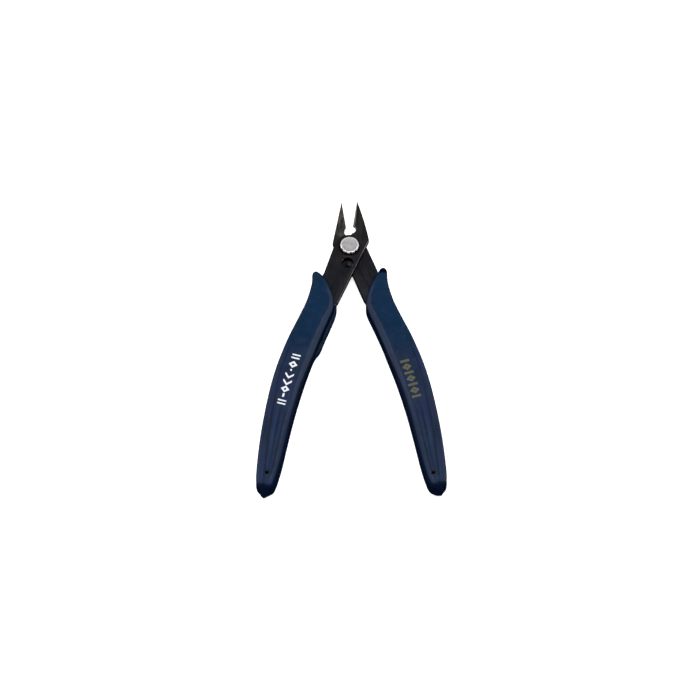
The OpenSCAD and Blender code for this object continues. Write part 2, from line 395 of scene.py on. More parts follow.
def grip_plastic(name, sheen):
    """Moulded plastic: teal on the thumb rest, and below it slate, a painted reflection, with
    streaks along the grip. sheen is the level of its reflections."""
    s = Shader(name)
    blotch = s.noise(110, 4)
    violet = s.noise(170, 3, distortion=0.3)
    cloud = s.noise(420, 5, roughness=0.6)
    speck = s.noise(5200, 2)
    drawn = s.noise(900, 3, vector=s.stretched(1, 0.12, 1))
    ragged_y = s.math("ADD", s.axis(1), s.times(blotch, 0.004))
    upper = s.ranged(ragged_y, TEAL_END_Y - 0.012, TEAL_END_Y + 0.004)
    lower = s.math("SUBTRACT", 1.0, upper)
    # Below the thumb rest, a painted reflection in slate
    slate = s.mix(s.ranged(violet, 0.42, 0.66, 0.0, 0.6), SLATE_SHEEN, VIOLET)
    colour = s.mix(upper, slate, TEAL)
    lane = {0: s.times(s.mask("across"), LANE_WIDTH), 1: s.times(s.axis(1), 0.05)}
    streak = s.noise(650, 3, vector=s.node("CombineXYZ", lane).outputs[0])
    for a, b, share, tone in ((0.50, 0.66, 0.60, STREAK_DARK), (0.47, 0.34, 0.50, STREAK_LIGHT)):
        colour = s.mix(s.times(lower, s.ranged(streak, a, b, 0.0, share)), colour, tone)
    # The inner chamfer is drawn lighter: a painted reflection
    colour = s.mix(s.times(s.mask("band_sheen"), 0.75), colour, BAND_SHEEN_BLUE)
    colour = s.mix(s.ranged(blotch, 0.35, 0.75, 0.0, 0.22), colour, INK_BLUE)
    colour = s.mix(s.ranged(cloud, 0.45, 0.8, 0.0, 0.16), colour, MOTTLE_AND_HIGHLIGHT_BLUE)
    colour = s.mix(s.ranged(speck, 0.62, 0.78, 0.0, 0.10), colour, MOTTLE_AND_HIGHLIGHT_BLUE)
    # Painted shade in the grooves
    colour = s.mix(s.times(s.mask("groove_shade"), 0.85), colour, INK_BLUE)
    # Painted highlight along the inner band's edge
    colour = s.mix(s.times(s.mask("rim"), s.ranged(cloud, 0.3, 0.7, 0.1, 0.45)), colour, MOTTLE_AND_HIGHLIGHT_BLUE)
    # Painted shade on the walls, the rounded edges, the tail and the inner side
    colour = s.mix(s.times(s.mask("wall"), 0.90), colour, INK_BLUE)
    s.set(Base_Color=colour, Roughness=s.ranged(cloud, 0.3, 0.7, 0.46, 0.60))
    s.set(Specular_IOR_Level=sheen)
    grain = s.bump(s.noise(7200, 2), 0.22, 0.00004)
    lines = s.bump(drawn, 0.12, 0.00006, grain)
    s.set(Normal=s.bump(cloud, 0.10, 0.00012, lines))
    return s.material


# Colours of the steel
OXIDE = (0.0090, 0.0093, 0.0125)
OXIDE_LIGHT = (0.0165, 0.0168, 0.0205)
OXIDE_WARM = (0.0140, 0.0100, 0.0095)
# Painted shade on a blade's sides
SIDE_SHADE = (0.0015, 0.0015, 0.0022)
GROUND = (0.0740, 0.0720, 0.0660)
GROUND_DARK = (0.0100, 0.0098, 0.0092)
BEVEL = (0.0850, 0.0760, 0.0740)
STRAW = (0.1500, 0.0850, 0.0500)
# Painted highlight on a blade's bevels
HIGHLIGHT_STEEL = (0.1100, 0.1100, 0.1150)
# Painted shadow inside the stop hole
HOLE_SHADOW = (0.0022, 0.0022, 0.0030)
TURNED = (0.50, 0.475, 0.475)
TURNED_DARK = (0.44, 0.42, 0.42)
TURNED_SCRATCH = (0.25, 0.24, 0.24)
RIM_SHADE = (0.28, 0.27, 0.27)
# Painted highlight on the rivet head's rim
RIM_HIGHLIGHT = (0.66, 0.64, 0.64)
WIRE_DARK = (0.30, 0.30, 0.31)
WIRE_LIGHT = (0.52, 0.52, 0.53)

# Spacing of the turning rings on the rivet's head, in metres
RING_PITCH = 0.00016


def blade_steel(name, marks_scale, flat, worn_edge=0.0, straw=0.0, grease=None, side=False):
    """Black oxide, ground bright on the jaw. marks_scale stretches the grinding marks; flat is how
    bright the jaw's flat is; grease is the middle (metres) of a painted shadow in the stop hole;
    side is for the blade's sides, which get painted shade and have no shine."""
    s = Shader(name)
    cloud = s.noise(300, 5, roughness=0.6)
    grain = s.noise(4200, 3)
    marks = s.noise(2600, 3, vector=s.stretched(*marks_scale), roughness=0.65)
    smear = s.noise(900, 4, vector=s.stretched(*marks_scale), roughness=0.6)
    patches = s.ranged(smear, 0.3, 0.6, 0.5, 1.0)
    oxide = s.mix(s.ranged(cloud, 0.35, 0.7, 0.0, 0.7), OXIDE, OXIDE_LIGHT)
    oxide = s.mix(s.ranged(grain, 0.60, 0.80, 0.0, 0.25), oxide, OXIDE_LIGHT)
    near_pivot = s.ranged(s.distance((0, 0, PARTING_Z * MM)), 0.0090, 0.0050)
    warm = s.times(near_pivot, s.ranged(cloud, 0.35, 0.6, 0.3, 0.9))
    oxide = s.mix(warm, oxide, OXIDE_WARM)
    ground = s.mix(s.ranged(smear, 0.35, 0.68, 0.0, flat), GROUND_DARK, GROUND)
    ground = s.mix(s.times(s.mask("bevel"), patches), ground, BEVEL)
    if straw:
        heat = s.ranged(s.axis(1), 0.0125, 0.0165, 0.0, straw)
        ground = s.mix(s.times(heat, patches), ground, STRAW)
    ragged_y = s.math("ADD", s.axis(1), s.times(smear, 0.003))
    jaw = s.ranged(ragged_y, 0.0055, 0.0085)
    colour = s.mix(jaw, oxide, ground)
    # Painted highlight on the bevels that the rim mask marks
    highlight = s.ranged(cloud, 0.35, 0.65, 0.35 + worn_edge, 0.8 + worn_edge)
    colour = s.mix(s.times(s.mask("rim"), highlight), colour, HIGHLIGHT_STEEL)
    # Painted shadow on the rear blade inside the stop hole
    if grease:
        colour = s.mix(s.ranged(s.distance(grease), 0.0026, 0.0020), colour, HOLE_SHADOW)
    # Painted shade on the blade's sides
    if side:
        colour = s.mix(0.85, colour, SIDE_SHADE)
        s.set(Specular_IOR_Level=0.0)
    s.set(Base_Color=colour, Metallic=0.0 if side else 0.75)
    s.set(Roughness=s.ranged(marks, 0.3, 0.7, 0.30, 0.48))
    s.set(Normal=s.bump(marks, 0.20, 0.00005, s.bump(grain, 0.16, 0.00003)))
    return s.material


def blade_steels(name, *look, **more):
    """The materials of a blade's faces and of its sides, which have painted shade"""
    parts = (("_steel", False), ("_side_shade", True))
    return [blade_steel(name + part, *look, side=side, **more) for part, side in parts]


def plain_oxide(name, dark=OXIDE, light=OXIDE_LIGHT, sheen=0.5):
    """Black oxide on small parts"""
    s = Shader(name)
    cloud = s.noise(1500, 4, roughness=0.6)
    grain = s.noise(9000, 2)
    s.set(
        Base_Color=s.mix(s.ranged(cloud, 0.35, 0.7), dark, light),
        Metallic=0.7,
        Specular_IOR_Level=sheen,
        Roughness=s.ranged(cloud, 0.3, 0.7, 0.34, 0.52),
        Normal=s.bump(grain, 0.2, 0.00002),
    )
    return s.material


def turned_steel(name):
    """Bright steel with turning rings about the pivot and a few scratches, and a painted highlight on the
    rim with painted shade just inside it
    """
    s = Shader(name)
    x, y = s.axis(0), s.axis(1)
    radius = s.math("SQRT", s.math("ADD", s.times(x, x), s.times(y, y)))
    rings = s.math("SINE", s.times(radius, 2 * math.pi / RING_PITCH))
    cloud = s.noise(700, 4, roughness=0.6)
    scratch = s.noise(2400, 2, vector=s.stretched(1, 0.08, 1), distortion=0.4)
    flat_r = HEAD_FLAT_R * MM
    colour = s.mix(s.ranged(cloud, 0.3, 0.75), TURNED_DARK, TURNED)
    colour = s.mix(s.ranged(scratch, 0.66, 0.72, 0.0, 0.25), colour, TURNED_SCRATCH)
    # Painted shade just inside the head's rim, and a painted highlight on the rim
    colour = s.mix(s.ranged(radius, flat_r - 0.00025, flat_r, 0.0, 0.5), colour, RIM_SHADE)
    colour = s.mix(s.ranged(radius, flat_r, flat_r + 0.00020), colour, RIM_HIGHLIGHT)
    s.set(Base_Color=colour, Metallic=0.6, Roughness=s.ranged(cloud, 0.3, 0.7, 0.26, 0.36))
    s.set(Normal=s.bump(scratch, 0.1, 0.00002, s.bump(rings, 0.10, 0.000012)))
    return s.material


def drawn_wire(name):
    s = Shader(name)
    cloud = s.noise(900, 4)
    streak = s.noise(3000, 2, vector=s.stretched(1, 0.1, 1))
    s.set(
        Base_Color=s.mix(s.ranged(cloud, 0.35, 0.7), WIRE_DARK, WIRE_LIGHT),
        Metallic=1.0,
        Roughness=s.ranged(cloud, 0.3, 0.7, 0.24, 0.42),
        Normal=s.bump(streak, 0.14, 0.00002),
    )
    return s.material


def ink(name, colour, thin, metallic=0.0):
    """Printed ink that is a little uneven; thin is the colour where the ink is thinner"""
    s = Shader(name)
    cloud = s.noise(1800, 4, roughness=0.65)
    pin = s.noise(6500, 2)
    shade = s.mix(s.ranged(cloud, 0.50, 0.80, 0.0, 0.75), colour, thin)
    shade = s.mix(s.ranged(pin, 0.68, 0.76, 0.0, 0.6), shade, thin)
    s.set(Base_Color=shade, Metallic=metallic, Roughness=s.ranged(cloud, 0.3, 0.7, 0.42, 0.6))
    s.set(Normal=s.bump(pin, 0.15, 0.00002))
    return s.material


# ---- Grips ---------------------------------------------------------------------------------


def wall_loop(node):
    """Outline of a grip shell: the longest loop of edges where its straight wall ends"""
    bm = cad_bmesh(node)
    heights = [round(v.co.z, 2) for v in bm.verts]
    best = []
    for level in sorted(set(heights), key=heights.count):
        from_parting = abs(level - PARTING_Z)
        if from_parting < 0.05 or abs(from_parting - SHELL_T) < 0.05:
            continue
        for loop in loops_at(bm, level):
            if length_of(loop) > length_of(best):
                best = loop
    bm.free()
    return np.array(best)


def loops_at(bm, z):
    """Closed loops of edges at height z, each a list of (x, y)"""

    def at_height(part):
        return all(abs(v.co.z - z) < 0.004 for v in part.verts)

    ways = {}
    for edge in bm.edges:
        if at_height(edge):
            flat = [at_height(face) for face in edge.link_faces]
            if any(flat) and not all(flat):
                a, b = edge.verts
                ways.setdefault(a, []).append(b)
                ways.setdefault(b, []).append(a)
    found, used = [], set()
    for start in ways:
        if start in used:
            continue
        loop, at = [], start
        while at is not None and at not in used:
            used.add(at)
            loop.append((at.co.x, at.co.y))
            at = next((n for n in ways[at] if n not in used), None)
        if len(loop) > 8:
            found.append(loop)
    return found


def length_of(points):
    """Length of a closed loop of points"""
    if len(points) < 2:
        return 0.0
    p = np.array(points)
    return float(np.linalg.norm(p - np.roll(p, 1, 0), axis=1).sum())


def catmull(p, steps):
    """Closed smooth curve through points p"""
    a, b, d, e = np.roll(p, 1, 0), p, np.roll(p, -1, 0), np.roll(p, -2, 0)
    rows = []
    for t in np.arange(steps) / steps:
        square = (2 * a - 5 * b + 4 * d - e) * t**2
        cube = (3 * b - a - 3 * d + e) * t**3
        rows.append((2 * b + (d - a) * t + square + cube) / 2)
    return np.stack(rows, 1).reshape(-1, 2)


def along(chain, fractions):
    """Points of a chain at fractions of its length"""
    steps = np.linalg.norm(np.diff(chain, axis=0), axis=1)
    s = np.concatenate([[0], np.cumsum(steps)]) / steps.sum()
    return np.stack([np.interp(fractions, s, chain[:, i]) for i in (0, 1)], 1)


class Grip:
    """Half a grip as a surface over v, from the flare (0) to the tail (1), and f, from the outer
    side (0) to the inner side (1)."""

    OUTLINE_STEPS = 5
    ROWS = 270
    MIDDLE_COLUMNS = 26
    # Distances from either side of the columns near it
    EDGE_STEPS = np.array([0, 0.04, 0.12, 0.25, 0.42, 0.62, 0.85, 1.1, 1.4, 1.8])
    # Rings down the wall: (share of the way to the parting line's bevel, inset)
    WALL_RINGS = ((0.3, 0.02), (0.65, 0.0), (1.0, 0.0))
    MASKS = ("groove_shade", "rim", "band_sheen", "wall", "across")

    def __init__(self, node, hand):
        """node is the CAD shell that gives the outline; hand is 'left' or 'right'"""
        self.side = 1 if node.endswith("front_shell") else -1
        self.dark_head = node == "right_front_shell"
        loop = catmull(wall_loop(node), self.OUTLINE_STEPS)
        loop = np.clip(loop, low(node)[:2] + INSIDE, high(node)[:2] - INSIDE)
        if hand == "left":
            loop = loop[::-1]
        else:
            # The right grip's tail is all but square, the left one's is pointed
            y = loop[:, 1]
            cut_y = y.min() + TAIL_CUT
            loop[:, 1] = np.where(y < cut_y, cut_y + (y - cut_y) * TAIL_KEEP, y)
        head, tail = int(loop[:, 1].argmax()), int(loop[:, 1].argmin())
        loop = np.roll(loop, -head, 0)
        tail = (tail - head) % len(loop)
        one, two = loop[: tail + 1], np.vstack([loop[tail:], loop[:1]])[::-1]
        outer_first = abs(one[:, 0]).mean() > abs(two[:, 0]).mean()
        self.outer, self.inner = (one, two) if outer_first else (two, one)
        self.loop = loop
        self.pin = middle(hand + "_tang_pin")[:2]
        self.mark = self.pin + RING_MARK_SHIFT[hand]
        self.hole = middle(hand + "_tail_pin")[:2]
        self.rows = self.row_places()

    def row_places(self):
        """Fractions along the grip, closer together at both ends, the ring mark and the hole"""
        v = np.linspace(0, 1, 2000)
        y = along(self.outer, v)[:, 1]
        near_mark = ridge(y - self.mark[1], 4.0, 4)
        near_hole = ridge(y - self.hole[1], 2.2, 4)
        ends = np.exp(-v / 0.012) + np.exp(-(1 - v) / 0.012)
        density = 1 + 1.6 * near_mark + 0.8 * near_hole + 3.5 * ends
        total = np.concatenate([[0], np.cumsum((density[1:] + density[:-1]) / 2)])
        return np.interp(np.linspace(0, total[-1], self.ROWS), total, v)

    def grid(self):
        """x, y, v, f and width at every grid point; rows run from the flare to the tail"""
        outer, inner = along(self.outer, self.rows), along(self.inner, self.rows)
        width = np.linalg.norm(inner - outer, axis=1)
        edge = self.EDGE_STEPS[None, :] / np.maximum(width, 2.7 * self.EDGE_STEPS[-1])[:, None]
        share = np.linspace(0, 1, self.MIDDLE_COLUMNS + 1)[None, 1:-1]
        centre = edge[:, -1:] + (1 - 2 * edge[:, -1:]) * share
        f = np.concatenate([edge, centre, 1 - edge[:, ::-1]], 1)
        p = outer[:, None, :] + (inner - outer)[:, None, :] * f[:, :, None]
        v = np.repeat(self.rows[:, None], f.shape[1], 1)
        w = np.repeat(width[:, None], f.shape[1], 1)
        return p[..., 0], p[..., 1], v, f, w

    def edge_distance(self, x, y):
        """Distance of points to the outline"""
        a = self.loop
        d = np.roll(a, -1, 0) - a
        best = np.full(x.shape, 1e9)
        for (ax, ay), (dx, dy) in zip(a, d):
            size = max(dx * dx + dy * dy, 1e-12)
            t = np.clip(((x - ax) * dx + (y - ay) * dy) / size, 0, 1)
            best = np.minimum(best, np.hypot(x - ax - t * dx, y - ay - t * dy))
        return best

    def relief(self, x, y, v, f, w):
        """(depth below the shell's full height, and the masks of painted shade in the grooves, of a painted
        highlight along the inner chamfer's edge and of the inner chamfer's painted reflection)
        """
        from_outer, from_inner = f * w, (1 - f) * w
        deep = 0.25 * (2 * f - 1) ** 2
        # A chamfered band down the inner side, and from the ring mark one down the outer side
        inner_w = 1.5 + 1.2 * smoothstep(v, 0.08, 0.25)
        inner_on = smoothstep(v, 0.05, 0.14)
        outer_w = 2.3 + 0.9 * smoothstep(v, 0.45, 0.7)
        outer_on = smoothstep(v, 0.31, 0.38)
        deep = deep + 0.30 * inner_on * np.clip(inner_w - from_inner, 0, None)
        deep = deep + 0.20 * outer_on * np.clip(outer_w - from_outer, 0, None)
        inner_seam = ridge(from_inner - inner_w, 0.16) * inner_on * smoothstep(v, 0.95, 0.92)
        outer_seam = ridge(from_outer - outer_w, 0.30) * outer_on * smoothstep(v, 0.94, 0.91)
        deep = deep + 0.06 * inner_seam + 0.14 * outer_seam
        # The thumb rest is a shallow dish above the ring mark
        rest = smoothstep(v, 0.30, 0.24) * smoothstep(from_inner, inner_w, inner_w + 0.6)
        rest = rest * smoothstep(from_outer, 0.9, 1.6) * smoothstep(v, 0.02, 0.06)
        deep = deep + 0.16 * rest
        # The ring mark is a groove round a slightly lower disc
        reach = np.hypot(x - self.mark[0], y - self.mark[1])
        ring = ridge(reach - RING_MARK_R, 0.19, 4)
        deep = deep + 0.14 * ring + 0.05 * smoothstep(reach, RING_MARK_R, RING_MARK_R - 0.3)
        # Two flutes below the print, which follow the grip to the tail hole
        flutes = np.zeros_like(deep)
        for across, strength in ((0.52, 0.45), (0.68, 1.0)):
            flutes = np.maximum(flutes, strength * ridge((f - across) * w, 0.36))
        flutes = flutes * smoothstep(v, 0.61, 0.66) * smoothstep(v, 0.925, 0.89)
        deep = deep + 0.20 * flutes
        if self.side > 0:
            # The front shell's tail slopes away
            deep = deep + 0.9 * smoothstep(v, 0.955, 0.990)
        # Painted shade: darkens the ring mark's groove, the flutes and the seams
        groove_shade = np.clip(0.5 * ring + 0.7 * flutes + 0.3 * inner_seam + 0.7 * outer_seam, 0, 1)
        # Painted highlight: a light line along the inner band's edge
        rim = ridge(from_inner - inner_w + 0.35, 0.3) * inner_on * (1 - groove_shade)
        # Painted reflection on the chamfered inner band
        band_sheen = smoothstep(from_inner, inner_w + 0.1, inner_w - 0.3) * smoothstep(v, 0.75, 0.5)
        return deep, groove_shade, rim, inner_on * band_sheen

    def top_shade(self, y, v, f, w, d):
        """Painted shade on the top, at distance d from the outline. The inner side and the tail get
        the most."""
        # Painted shade: a dark outline along the rounded edges
        edge = smoothstep(d, 0.55, 0.1) * np.where(f < 0.5, OUTER_EDGE_SHADE, 1.0)
        wall = np.maximum(edge, 0.95 * smoothstep(v, 0.938, 0.976))
        # Painted shade along the inner side
        shade_w = 0.7 + 0.9 * smoothstep(v, 0.3, 0.6)
        shade = smoothstep((1 - f) * w, shade_w, shade_w - 0.7) * smoothstep(v, 0.10, 0.25)
        wall = np.maximum(wall, 0.85 * shade)
        # A dark patch of unknown cause on the right front shell's flare tip
        if self.dark_head:
            cap_y = self.loop[:, 1].max()
            wall = np.maximum(wall, smoothstep(y, cap_y - 2.8, cap_y - 2.0))
        return wall

    def side_shade(self):
        """Painted shade on the wall, down the outer side and up the inner side"""
        near_tail = smoothstep(self.rows, 0.92, 0.95)
        inner_dark = 1.0 if self.side > 0 else REAR_WALL_SHADE
        outer = OUTER_WALL_SHADE + (1 - OUTER_WALL_SHADE) * near_tail
        inner = inner_dark + (1 - inner_dark) * near_tail
        return np.concatenate([outer, inner[-2:0:-1]])

    def shell(self):
        """Closed mesh of the shell, with its masks on its points, and its faces with much painted shade matt
        """
        x, y, v, f, w = self.grid()
        n, m = x.shape
        deep, groove_shade, rim, band_sheen = self.relief(x, y, v, f, w)
        d = np.clip(self.edge_distance(x, y), 0, SHELL_ROUND)
        drop = SHELL_ROUND - np.sqrt(SHELL_ROUND**2 - (SHELL_ROUND - d) ** 2)
        top = SHELL_T - CLEAR_OF_TOP - deep - drop
        top[0], top[-1] = top[0].mean(), top[-1].mean()
        wall = self.top_shade(y, v, f, w, d)
        points = [tuple(p) for p in np.stack([x.ravel(), y.ravel(), top.ravel()], 1)]
        masks = list(np.stack([mask.ravel() for mask in (groove_shade, rim, band_sheen, wall, f)], 1))
        faces = []
        for i in range(n - 1):
            for j in range(m - 1):
                a = i * m + j
                faces.append((a, a + 1, a + m + 1, a + m))
        edge = [i * m for i in range(n)] + [i * m + m - 1 for i in range(n - 2, 0, -1)]
        rings = [edge, *self.side_rings(points, masks, edge)]
        c = len(edge)
        for one, two in zip(rings, rings[1:]):
            for k in range(c):
                faces.append((one[k], one[(k + 1) % c], two[(k + 1) % c], two[k]))
        # The parting face is strips from the outer side to the inner side
        last = rings[-1]
        opposite = [last[0], *last[: n - 1 : -1], last[n - 1]]
        for i in range(n - 1):
            faces.append((last[i], last[i + 1], opposite[i + 1], opposite[i]))
        bm = bmesh_from([(a, b, PARTING_Z + self.side * z) for a, b, z in points], faces)
        for k, name in enumerate(self.MASKS):
            layer = bm.verts.layers.float.new(name)
            for vert, mask in zip(bm.verts, masks):
                vert[layer] = float(mask[k])
        dark = bm.verts.layers.float["wall"]
        for face in bm.faces:
            darkness = sum(vert[dark] for vert in face.verts)
            face.material_index = int(darkness > MATT_FROM * len(face.verts))
        bmesh.ops.remove_doubles(bm, verts=bm.verts, dist=0.0005)
        return bm

    def side_rings(self, points, masks, edge):
        """Adds the wall's rings of points below the outline, edge, down to the parting plane"""
        half = self.ROWS // 2
        xy = np.array([points[i][:2] for i in edge])
        z = np.array([points[i][2] for i in edge])
        onward = np.roll(xy, -1, 0) - np.roll(xy, 1, 0)
        inward = np.stack([onward[:, 1], -onward[:, 0]], 1)
        inward = inward / np.maximum(np.linalg.norm(inward, axis=1), 1e-9)[:, None]
        if np.dot(inward[half], self.inner[len(self.inner) // 2] - xy[half]) < 0:
            inward = -inward
        dark = self.side_shade()
        rings = []
        for share, inset in self.WALL_RINGS:
            ring_z = z + (PARTING_BEVEL - z) * share
            rings.append(self.add_ring(points, masks, xy + inward * inset, ring_z, 0.0, dark))
        bevelled = xy + inward * PARTING_BEVEL
        # The parting line's bevel gets some painted reflection, and three quarters of the wall's painted
        # shade
        rings.append(self.add_ring(points, masks, bevelled, np.zeros(len(edge)), 0.6, 0.75 * dark))
        return rings

    def add_ring(self, points, masks, xy, z, band_sheen, dark):
        """Adds a ring of points with their masks of painted reflection and painted shade, and gives their
        numbers
        """
        start = len(points)
        for k, ((a, b), height, wall) in enumerate(zip(xy, z, dark)):
            points.append((a, b, float(height)))
            masks.append((0.0, 0.0, band_sheen, wall, float(k >= self.ROWS)))
        return list(range(start, len(points)))

    def at(self, v, f):
        """Place on the plan at v and f"""
        a, b = along(self.outer, [v])[0], along(self.inner, [v])[0]
        return a + (b - a) * f


def tube_cutter(centre, radius, z0, z1):
    profile = [(0, z0), (radius, z0), (radius, z1), (0, z1)]
    return new_object("cutter", lathe(profile, centre, CUTTER_STEPS), [])


def fat_cutter(node):
    """The CAD node with room round it"""
    bm = cad_bmesh(node)
    bm.normal_update()
    for vert, normal in [(v, v.normal.copy()) for v in bm.verts]:
        vert.co += normal * TANG_ROOM
    return new_object("cutter", bm, [])


def wire_arc(angle, z):
    """Point of the spring's bend round the pivot"""
    a = math.radians(angle)
    return Vector((WIRE_BEND_R * math.cos(a), WIRE_BEND_R * math.sin(a), z))


def slot_cutter():
    """Straight slot for the spring's arm in the left rear shell"""
    foot = Vector((*WIRE_ARM_END, 0))
    arm = wire_arc(WIRE_ARC[1], 0) - foot
    step = arm.normalized()
    side = Vector((-step.y, step.x, 0)) * SLOT_W / 2
    start, end = foot - step, foot + arm * SLOT_SHARE
    points = []
    for h in (low("return_spring")[2] - 0.1, PARTING_Z + 1):
        for p in (start - side, start + side, end + side, end - side):
            points.append((p.x, p.y, h))
    faces = [(0, 1, 2, 3), (7, 6, 5, 4), (0, 4, 5, 1), (1, 5, 6, 2), (2, 6, 7, 3), (3, 7, 4, 0)]
    return new_object("cutter", bmesh_from(points, faces), [])


def build_shell(node, hand, body, materials):
    """A shell with its bores and its room for a tang or the spring. materials are for its satin
    faces and its matt ones."""
    grip = Grip(node, hand)
    piece = new_object(node + "_moulding", grip.shell(), materials, GRIP_SHARP_ANGLE)
    tail_pin, tang_pin = hand + "_tail_pin", hand + "_tang_pin"
    through = 8
    hole_r = radius_of(tail_pin) + PIN_GAP
    cut(piece, tube_cutter(grip.hole, hole_r, PARTING_Z - through, PARTING_Z + through))
    pin_z = (low(tang_pin)[2] - PIN_GAP, high(tang_pin)[2] + PIN_GAP)
    cut(piece, tube_cutter(grip.pin, radius_of(tang_pin) + PIN_GAP, *pin_z))
    if node == "left_front_shell":
        cut(piece, fat_cutter("front_blade"))
    if node == "right_rear_shell":
        cut(piece, fat_cutter("rear_blade"))
    if node == "left_rear_shell":
        cut(piece, slot_cutter())
    mend(piece, GRIP_SHARP_ANGLE)
    place(piece, body, "grip_plastic", node)
    return piece, grip


# ---- Steel pieces --------------------------------------------------------------------------


def build_blade(node, body, materials):
    """The CAD blade with its sharp edges broken by a small bevel. materials are for its faces and
    for its sides, which have painted shade."""
    bm = cad_bmesh(node)
    bmesh.ops.dissolve_limit(
        bm, angle_limit=math.radians(0.6), use_dissolve_boundaries=False, verts=bm.verts, edges=bm.edges
    )
    broken, rim, facet = (bm.faces.layers.float.new(k) for k in ("broken", "rim", "bevel"))
    bevel_end = high(node)[1] - SHARP_TIP
    sharp = [
        e for e in bm.edges
        if e.is_manifold
        and e.calc_face_angle(0) > math.radians(BLADE_SHARP_ANGLE)
        and max(v.co.y for v in e.verts) < bevel_end
    ]
    made = bmesh.ops.bevel(
        bm, geom=sharp, offset=BLADE_BEVEL, segments=2, profile=0.6, affect="EDGES", clamp_overlap=False
    )
    for face in made["faces"]:
        face[broken] = 1.0
    bm.normal_update()
    stop = middle("stop_pin")
    for face in bm.faces:
        n, c = face.normal, face.calc_center_median()
        # Painted highlight: bevels that face the right grip's way are drawn bright, and in the stop hole
        # those that face the other way, a painted glint
        way = -1 if math.dist(c[:2], stop[:2]) < STOP_HOLE_REACH else 1
        bright = face[broken] and n.x * way > 0.2 and n.y * way < -0.1
        # The outer sides and the bevels without the painted highlight take the material with painted shade
        outer = c.y < JAW_Y or c.x * n.x > 0
        face[rim] = float(bright)
        face.material_index = int(not bright and outer and (face[broken] or abs(n.z) < 0.25))
        face[facet] = float(not face[broken] and 0.25 < abs(n.z) < 0.8 and c.y > JAW_Y)
    piece = new_object(node + "_ground", bm, materials, 24)
    place(piece, body, "black_steel", node)


def peen(head, under, head_r):
    """Scallops the hammered rim of the rivet's head on the side of the handles"""
    for vert in head.verts:
        r, a = math.hypot(vert.co.x, vert.co.y), math.atan2(vert.co.y, vert.co.x)
        if r > SHANK_R + 0.2 and vert.co.z > under - 0.01:
            bite = PEEN_DEPTH * math.sin(PEEN_COUNT * a / 2) ** 6
            bite *= float(smoothstep(-math.sin(a), 0.1, 0.6))
            bite *= ((r - SHANK_R) / (head_r - SHANK_R)) ** 2
            vert.co.x *= 1 - bite / r
            vert.co.y *= 1 - bite / r


def build_rivet(steel):
    lo, hi = low("pivot_rivet"), high("pivot_rivet")
    head_r, end, top = hi[0], lo[2], hi[2]
    under, collar_top = high("front_washer")[2], high("pivot_collar")[2]
    profile = [(0, end + 0.12), (0.5, end + 0.1), (SPIGOT_R - 0.2, end), (SPIGOT_R, end + 0.15)]
    profile += [(SPIGOT_R, collar_top), (SHANK_R, collar_top)]
    profile += [(SHANK_R, under), (head_r - 0.1, under)]
    profile += fillet(head_r - 0.1, under + 0.1, 0.1, -90, 0, 3)
    profile += fillet(head_r - HEAD_RIM, top - HEAD_RIM, HEAD_RIM, 0, 84, 7)
    profile += [(HEAD_FLAT_R + 0.05, top - 0.03), (HEAD_FLAT_R - 0.15, top - 0.055)]
    profile += [(1.6, top - 0.05), (0.8, top - 0.045), (0, top - 0.045)]
    head = lathe(profile)
    peen(head, under, head_r)
    rivet = new_object("pivot_rivet_turned", head, [steel], 40)
    place(rivet, "rear_half", "bright_steel", "pivot_rivet")


def build_collar(steel):
    lo, hi = low("pivot_collar"), high("pivot_collar")
    profile = [(SPIGOT_R, lo[2] + 0.1), (SPIGOT_R + 0.1, lo[2]), (hi[0] - 0.3, lo[2])]
    profile += fillet(hi[0] - 0.25, lo[2] + 0.25, 0.25, -90, 0)
    profile += [(hi[0], hi[2] - 0.06), (hi[0] - 0.06, hi[2]), (SPIGOT_R, hi[2])]
    collar = new_object("pivot_collar_turned", lathe(profile), [steel], 40)
    place(collar, "rear_half", "bright_steel", "pivot_collar")


def build_washer(node, oxide):
    lo, hi = low(node), high(node)
    half = (hi[2] - lo[2]) / 2
    profile = [(SHANK_R, lo[2]), (hi[0] - 0.12, lo[2])]
    profile += fillet(hi[0] - half, lo[2] + half, half, -80, 80, 6)
    profile += [(hi[0] - 0.2, hi[2]), (SHANK_R, hi[2])]
    washer = new_object(node + "_pressed", lathe(profile), [oxide], 40)
    place(washer, "rear_half", "black_steel", node)


def build_solid_pin(node, body, material, slot, bevel):
    lo, hi = low(node), high(node)
    r, c = radius_of(node), middle(node)
    profile = [(0, lo[2]), (r - bevel, lo[2]), *fillet(r - bevel, lo[2] + bevel, bevel, -80, 0, 3)]
    profile += [*fillet(r - bevel, hi[2] - bevel, bevel, 0, 80, 3), (r - bevel, hi[2]), (0, hi[2])]
    pin = new_object(node + "_turned", lathe(profile, c[:2], 64), [material], 40)
    place(pin, body, slot, node)


def build_tail_pin(node, body, oxide):
    """Hollow pin with both ends rolled over"""
    lo, hi = low(node), high(node)
    lip = (radius_of(node) - TAIL_BORE_R) / 2
    profile = fillet(TAIL_BORE_R + lip, hi[2] - lip, lip, 0, 180, 8)
    profile += fillet(TAIL_BORE_R + lip, lo[2] + lip, lip, 180, 360, 8)
    pin = new_object(node + "_rolled", lathe(profile, middle(node)[:2], 48), [oxide], 50)
    place(pin, body, "black_steel", node)


